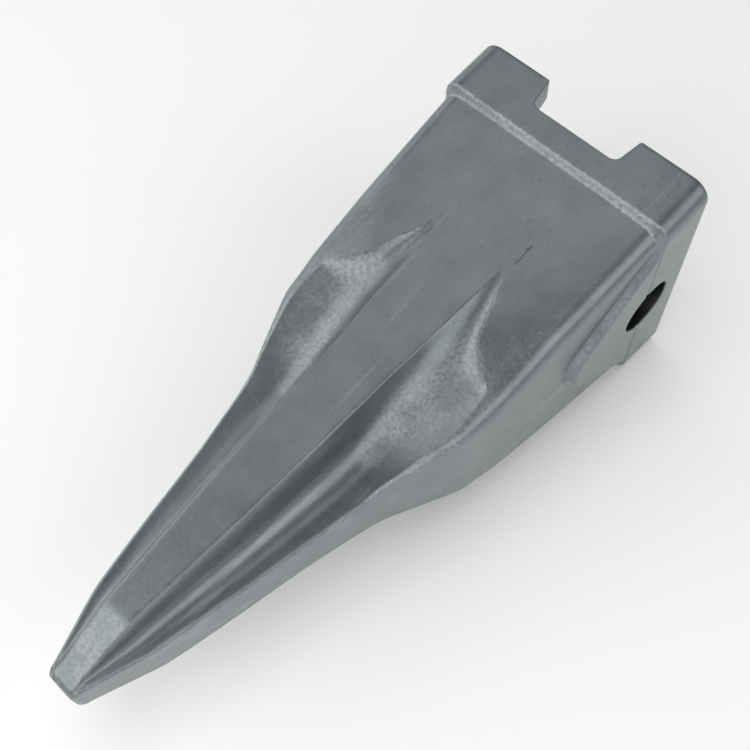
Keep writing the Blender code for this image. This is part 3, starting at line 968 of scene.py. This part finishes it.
# %% Pin shape
PIN_RADIUS = 0.5 * (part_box("retaining_pin")[1].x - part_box("retaining_pin")[0].x) / MM
PIN_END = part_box("retaining_pin")[1].y / MM
PIN_CHAMFER = 2.0
CENTRE_HOLE = (2.6, 3.4)
POCKET_HALF = (11.0, 4.2)
POCKET_FLOOR = 15.0 - PIN_RADIUS
POCKET_CORNER = 2.4


def pin_profile():
    """(y, r) pairs from the near centre hole round the outside to the far centre hole: hole,
    end face, chamfer with eased edges, barrel, and the same again mirrored."""
    radius, depth = CENTRE_HOLE
    end = [(PIN_END - depth, 0.5), (PIN_END - depth + 0.6, 0.9), (PIN_END - 1.1, radius - 0.6),
           (PIN_END - 0.35, radius + 0.05), (PIN_END, radius + 0.45)]
    face = [(PIN_END, r) for r in np.linspace(radius + 1.4, PIN_RADIUS - PIN_CHAMFER - 0.35, 5)]
    chamfer = [(PIN_END - 0.12, PIN_RADIUS - PIN_CHAMFER + 0.05),
               (PIN_END - 1.0, PIN_RADIUS - 1.0), (PIN_END - PIN_CHAMFER + 0.1, PIN_RADIUS - 0.12),
               (PIN_END - PIN_CHAMFER - 0.35, PIN_RADIUS)]
    half = np.array(end + face + chamfer)
    barrel = np.linspace(PIN_END - PIN_CHAMFER - 0.35, -(PIN_END - PIN_CHAMFER - 0.35), 42)[1:-1]
    middle = np.column_stack([barrel, np.full_like(barrel, PIN_RADIUS)])
    return np.concatenate([half, middle, half[::-1] * [-1, 1]])


def rounded_block(half_y, half_z, corner, places, name):
    """A block along X: at each (x, inset) of places, the ring of a rounded rectangle in Y and
    Z, pulled in by the inset."""
    turn = np.radians(np.linspace(0.0, 90.0, 7))
    rows = []
    for x, inset in places:
        radius = max(corner - 0.6 * inset, 0.3)
        y = half_y - inset - radius + radius * np.sin(turn)
        z = half_z - inset - radius + radius * np.cos(turn)
        ring_y = np.concatenate([y, y[::-1], -y, -y[::-1]])
        ring_z = np.concatenate([z, -z[::-1], -z, z[::-1]])
        rows.append(np.column_stack([np.full_like(ring_y, x), ring_y, ring_z]) * MM)
    return ring_tube(name, np.array(rows), inside_out=True)


pin = add_piece("pin_surface", turned("pin_surface", pin_profile(), 128))
pocket_places = [(-PIN_RADIUS - 6.0, 0.0), (POCKET_FLOOR - 0.7, 0.0), (POCKET_FLOOR - 0.2, 0.2),
                 (POCKET_FLOOR, 0.7)]
pocket = add_piece("pocket_cutter", rounded_block(*POCKET_HALF, POCKET_CORNER, pocket_places,
                                                  "pocket_cutter"))
cut(pin, [pocket])
pin.data.name = "pin_surface"
pin.data.shade_smooth()
pin.data.set_sharp_from_angle(angle=math.radians(30))
print("pin is", round(2 * PIN_RADIUS, 1), "mm across and", round(2 * PIN_END, 1), "mm long")
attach(pin, "pin")
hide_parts("retaining_pin")

# %% [markdown]
# ## The lock in the pin
#
# The plunger is a small steel block with a crowned front that bears on the adapter, and the
# rubber behind it pushes it out. Both are rounded rectangles stacked along X: the plunger's
# outline shrinks in steps at its front, which gives it a cam-like nose, and the rubber's
# outline swells in the middle, as squeezed rubber does. The real rubber flattens as the plunger
# is pressed in; here it keeps this one shape.

# %% Plunger and rubber
PLUNGER_LOW, PLUNGER_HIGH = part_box("lock_plunger")
RUBBER_LOW, RUBBER_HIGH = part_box("rubber_spring")


def stacked_block(name, low, high, corner, profile):
    """A rounded block inside a CAD box. The profile is (share of depth, inset in mm)."""
    half_y, half_z = high.y / MM, high.z / MM
    x_low, x_high = low.x / MM, high.x / MM
    places = [(x_low + share * (x_high - x_low), inset) for share, inset in profile]
    return add_piece(name, rounded_block(half_y, half_z, corner, places, name), 40)


plunger = stacked_block("plunger_surface", PLUNGER_LOW, PLUNGER_HIGH, 2.2,
                        [(0.0, 2.4), (0.015, 1.5), (0.05, 0.85), (0.11, 0.4), (0.20, 0.12),
                         (0.30, 0.0), (0.60, 0.0), (0.94, 0.0), (0.985, 0.12), (1.0, 0.45)])
swell = [(share, 0.75 * (2 * share - 1) ** 2) for share in np.linspace(0.06, 0.94, 9)]
rubber = stacked_block("rubber_surface", RUBBER_LOW, RUBBER_HIGH, 1.8,
                       [(0.0, 1.3)] + swell + [(1.0, 1.3)])
for piece, body, cad_node, slot in ((plunger, "lock", "lock_plunger", "plunger_steel"),
                                    (rubber, "pin", "rubber_spring", "rubber")):
    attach(piece, body)
    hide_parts(cad_node)
    print(piece.name, "has", len(piece.data.polygons), "faces")
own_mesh(rubber)

# %% [markdown]
# ## The pin's finish
#
# The pin is hardened and blackened, so it is a dark metal with turning lines round it and
# bright rubbed chamfers. The turning lines come from the tool marks group, fed with a place
# that hardly changes across the pin, so each line runs all the way round.

# %% Blackened steel
PIN_DARK, PIN_PALE = (0.050, 0.053, 0.057, 1.0), (0.085, 0.088, 0.092, 1.0)
PIN_SCRATCH, PIN_RUBBED = (0.260, 0.260, 0.255, 1.0), (0.480, 0.470, 0.450, 1.0)


def blackened_steel():
    """Dark metal with turning lines, a few scratches and rubbed edges."""
    made, tree, place, shader = start_material("blackened_pin_steel")
    along = node(tree, "ShaderNodeMapping", {"Vector": place, "Scale": (0.02, 1.0, 0.02)}).outputs[0]
    lines = use(tree, TOOL_MARKS, Vector=along, Pitch=0.5)
    skin = use(tree, GRAIN, Vector=place, Size=1.2, Pit_Amount=0.2)
    wear_and_shade = use(tree, EDGE_WEAR_AND_SHADE, Vector=place, Start=0.53, End=0.60, Patch_Size=3.0)
    colour = blended(tree, skin["Mottle"], PIN_DARK, PIN_PALE)
    colour = over(tree, colour, lines["Scratches"], 0.35, PIN_SCRATCH)
    colour = over(tree, colour, wear_and_shade["Worn"], 0.8, PIN_RUBBED)
    tree.links.new(colour, shader.inputs["Base Color"])
    shader.inputs["Metallic"].default_value = 1.0
    tree.links.new(ramped(tree, lines["Lines"], 0.0, 1.0, 0.30, 0.46), shader.inputs["Roughness"])
    relief = sum_up(tree, "ADD", lines["Lines"], sum_up(tree, "MULTIPLY", skin["Fine"], 0.3))
    finish_bump(tree, shader, relief, 0.03, 0.5)
    return made


def give_finish(piece, finish):
    """Make a finish the piece's only material."""
    piece.data.materials.clear()
    piece.data.materials.append(finish)
    print(piece.name, "is finished in", finish.name)


give_finish(pin, blackened_steel())

# %% [markdown]
# ## The plunger's finish
#
# The plunger is ground and left bare, so it is bright steel with fine lines along it. A few
# brown pits show where it has begun to rust.

# %% Ground steel
GROUND_DARK, GROUND_PALE = (0.360, 0.345, 0.320, 1.0), (0.480, 0.460, 0.430, 1.0)
GROUND_PIT, GROUND_RUBBED = (0.180, 0.140, 0.110, 1.0), (0.600, 0.590, 0.570, 1.0)


def ground_steel():
    """Bright metal with grinding lines, brown pits and rubbed edges."""
    made, tree, place, shader = start_material("ground_plunger_steel")
    along = node(tree, "ShaderNodeMapping", {"Vector": place, "Scale": (1.0, 0.03, 1.0)}).outputs[0]
    lines = use(tree, TOOL_MARKS, Vector=along, Pitch=0.3)
    wear_and_shade = use(tree, EDGE_WEAR_AND_SHADE, Vector=place, Start=0.52, End=0.60, Patch_Size=2.0)
    skin = use(tree, GRAIN, Vector=place, Size=0.8, Pit_Amount=0.25)
    colour = blended(tree, lines["Lines"], GROUND_DARK, GROUND_PALE)
    colour = over(tree, colour, skin["Pits"], 0.6, GROUND_PIT)
    colour = blended(tree, wear_and_shade["Worn"], colour, GROUND_RUBBED)
    tree.links.new(colour, shader.inputs["Base Color"])
    shader.inputs["Metallic"].default_value = 1.0
    tree.links.new(ramped(tree, skin["Mottle"], 0.0, 1.0, 0.24, 0.40), shader.inputs["Roughness"])
    finish_bump(tree, shader, lines["Lines"], 0.03, 0.6)
    return made


give_finish(plunger, ground_steel())

# %% [markdown]
# ## The rubber's finish
#
# The rubber is matt, with a fine moulding grain and a pale bloom on its edges. It isn't a
# metal, so it has no metallic value, and its roughness varies only a little.

# %% Moulded rubber
RUBBER_DARK, RUBBER_PALE = (0.016, 0.016, 0.017, 1.0), (0.034, 0.033, 0.032, 1.0)
RUBBER_BLOOM = (0.075, 0.073, 0.070, 1.0)


def moulded_rubber():
    """Matt black rubber with fine grain and pale edges."""
    made, tree, place, shader = start_material("moulded_rubber")
    skin = use(tree, GRAIN, Vector=place, Size=0.6, Pit_Amount=0.15)
    wear_and_shade = use(tree, EDGE_WEAR_AND_SHADE, Vector=place, Start=0.52, End=0.62, Patch_Size=1.5)
    colour = blended(tree, skin["Mottle"], RUBBER_DARK, RUBBER_PALE)
    colour = over(tree, colour, wear_and_shade["Worn"], 0.5, RUBBER_BLOOM)
    tree.links.new(colour, shader.inputs["Base Color"])
    tree.links.new(ramped(tree, skin["Fine"], 0.0, 1.0, 0.62, 0.80), shader.inputs["Roughness"])
    finish_bump(tree, shader, skin["Fine"], 0.05, 0.5)
    return made


give_finish(rubber, moulded_rubber())

# %% [markdown]
# ## Floor and surroundings
#
# The floor is a plain pale sheet at the height of the tooth's lowest point, and the world is a
# dim even grey, so that nothing in the metal is quite black.

# %% Floor
FLOOR_SIZE = 6.0
FLOOR_COLOUR = (0.93, 0.93, 0.93, 1.0)
WORLD_COLOUR, WORLD_STRENGTH = (0.95, 0.97, 0.97, 1.0), 0.25


def pale_sheet():
    """A matt near-white sheet."""
    made = bpy.data.materials.new("pale_sheet")
    made.use_nodes = True
    shader = made.node_tree.nodes["Principled BSDF"]
    shader.inputs["Base Color"].default_value = FLOOR_COLOUR
    shader.inputs["Roughness"].default_value = 0.9
    return made


bpy.ops.mesh.primitive_plane_add(size=FLOOR_SIZE, location=(-0.135, 0.0, cad_box[0][2]))
floor = bpy.context.object
floor.name = "floor"
floor.data.materials.append(pale_sheet())

world = bpy.data.worlds.new("studio")
bpy.context.scene.world = world
world.use_nodes = True
backdrop = world.node_tree.nodes["Background"]
backdrop.inputs["Color"].default_value = WORLD_COLOUR
backdrop.inputs["Strength"].default_value = WORLD_STRENGTH
bpy.context.scene.view_settings.view_transform = "Standard"
print("floor lies at", round(cad_box[0][2], 4), "m")

# %% [markdown]
# ## Light
#
# Satin metal shows what stands around it, so the light is a few large soft boxes and each one
# makes one family of faces bright: the two in front the ramps, the near one the flutes and
# rounded edges, the far one the far flute. Overhead stays dimmer, so the flat spine reads
# darker than the slopes. A last lamp brightens the floor and is hidden from reflections.

# %% Soft boxes
CENTRE = (-0.12, 0.0, 0.0)
FLOOR_MIDDLE = (-0.15, -0.05, 0.0)
FLOOR_LAMP_HEIGHT = 1.3


def softbox(name, place, aim, width, height, radiance, glossy=True):
    """A rectangular light. Its power is radiance times pi times its area."""
    data = bpy.data.lights.new(name, "AREA")
    data.shape = "RECTANGLE"
    data.size, data.size_y = width, height
    data.energy = radiance * math.pi * width * height
    lamp = bpy.data.objects.new(name, data)
    lamp.location = place
    lamp.rotation_euler = (Vector(aim) - Vector(place)).to_track_quat("-Z", "Y").to_euler()
    lamp.visible_glossy = glossy
    bpy.context.scene.collection.objects.link(lamp)
    print(name, "gives", round(data.energy, 2), "W")


def around(azimuth, elevation, distance):
    """A place at this azimuth from +X, this elevation and this distance from the tooth."""
    a, e = math.radians(azimuth), math.radians(elevation)
    return (CENTRE[0] + distance * math.cos(e) * math.cos(a),
            distance * math.cos(e) * math.sin(a), distance * math.sin(e))


softbox("front_near_softbox", around(192, 38, 1.35), CENTRE, 1.5, 0.95, 1.1)
softbox("front_far_softbox", around(133, 38, 1.35), CENTRE, 1.5, 0.95, 1.1)
softbox("near_softbox", around(-86, 34, 1.4), CENTRE, 2.0, 1.05, 1.1)
softbox("far_softbox", around(88, 17, 1.5), CENTRE, 1.8, 0.7, 0.95)
softbox("top_softbox", around(48, 66, 1.6), CENTRE, 1.3, 1.1, 0.62)
softbox("floor_lamp", (*FLOOR_MIDDLE[:2], FLOOR_LAMP_HEIGHT), FLOOR_MIDDLE, 0.8, 0.8, 2.9,
        glossy=False)
